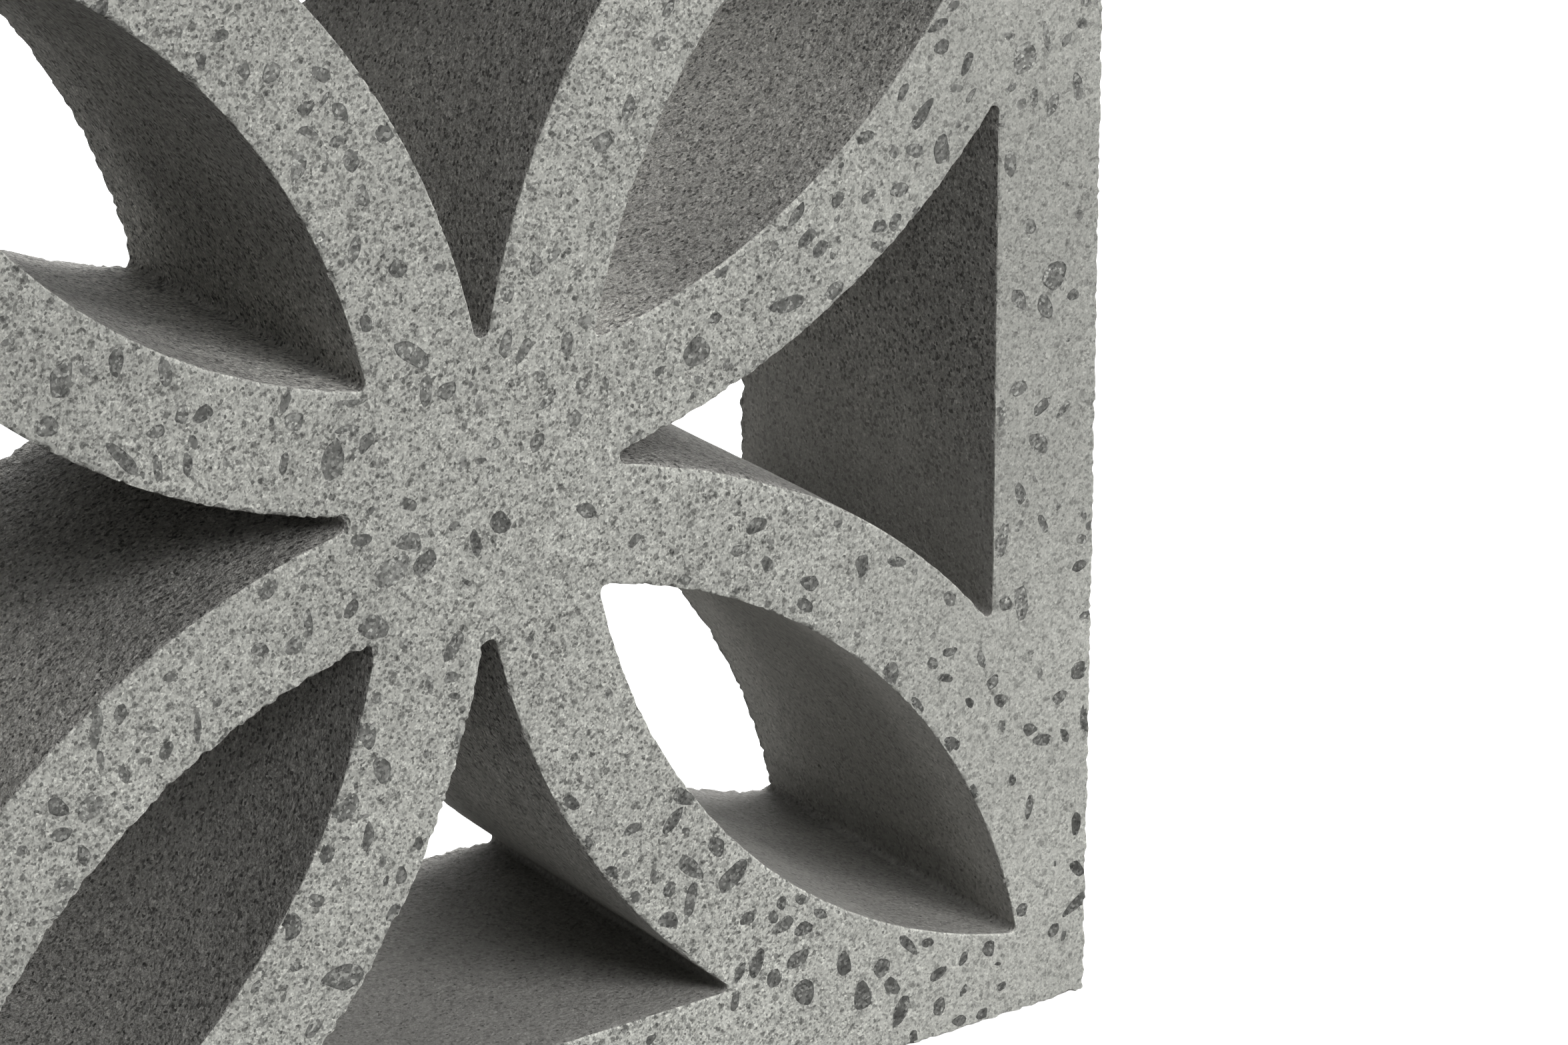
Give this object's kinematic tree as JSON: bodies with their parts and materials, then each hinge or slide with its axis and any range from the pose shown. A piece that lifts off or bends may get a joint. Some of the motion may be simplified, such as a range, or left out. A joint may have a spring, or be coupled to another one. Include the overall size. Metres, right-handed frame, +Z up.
{
  "type": "breeze block",
  "caption": "Square pierced concrete screen block with leaf-shaped and three-sided through openings round a solid hub, and a ground show face with visible aggregate.",
  "frame": {"origin": "centre of the lower bed face, midway between the show face and the back", "axes": "+Z up as laid; -Y out of the ground show face, +Y out of the back; X along the course"},
  "size_m": [0.29, 0.09, 0.29],
  "materials": {
    "concrete": "cast concrete, pale grey; the show face is ground flat with dark aggregate showing, the openings and back are as cast"
  },
  "bodies": {
    "root": {"block": "concrete"}
  },
  "joints": []
}
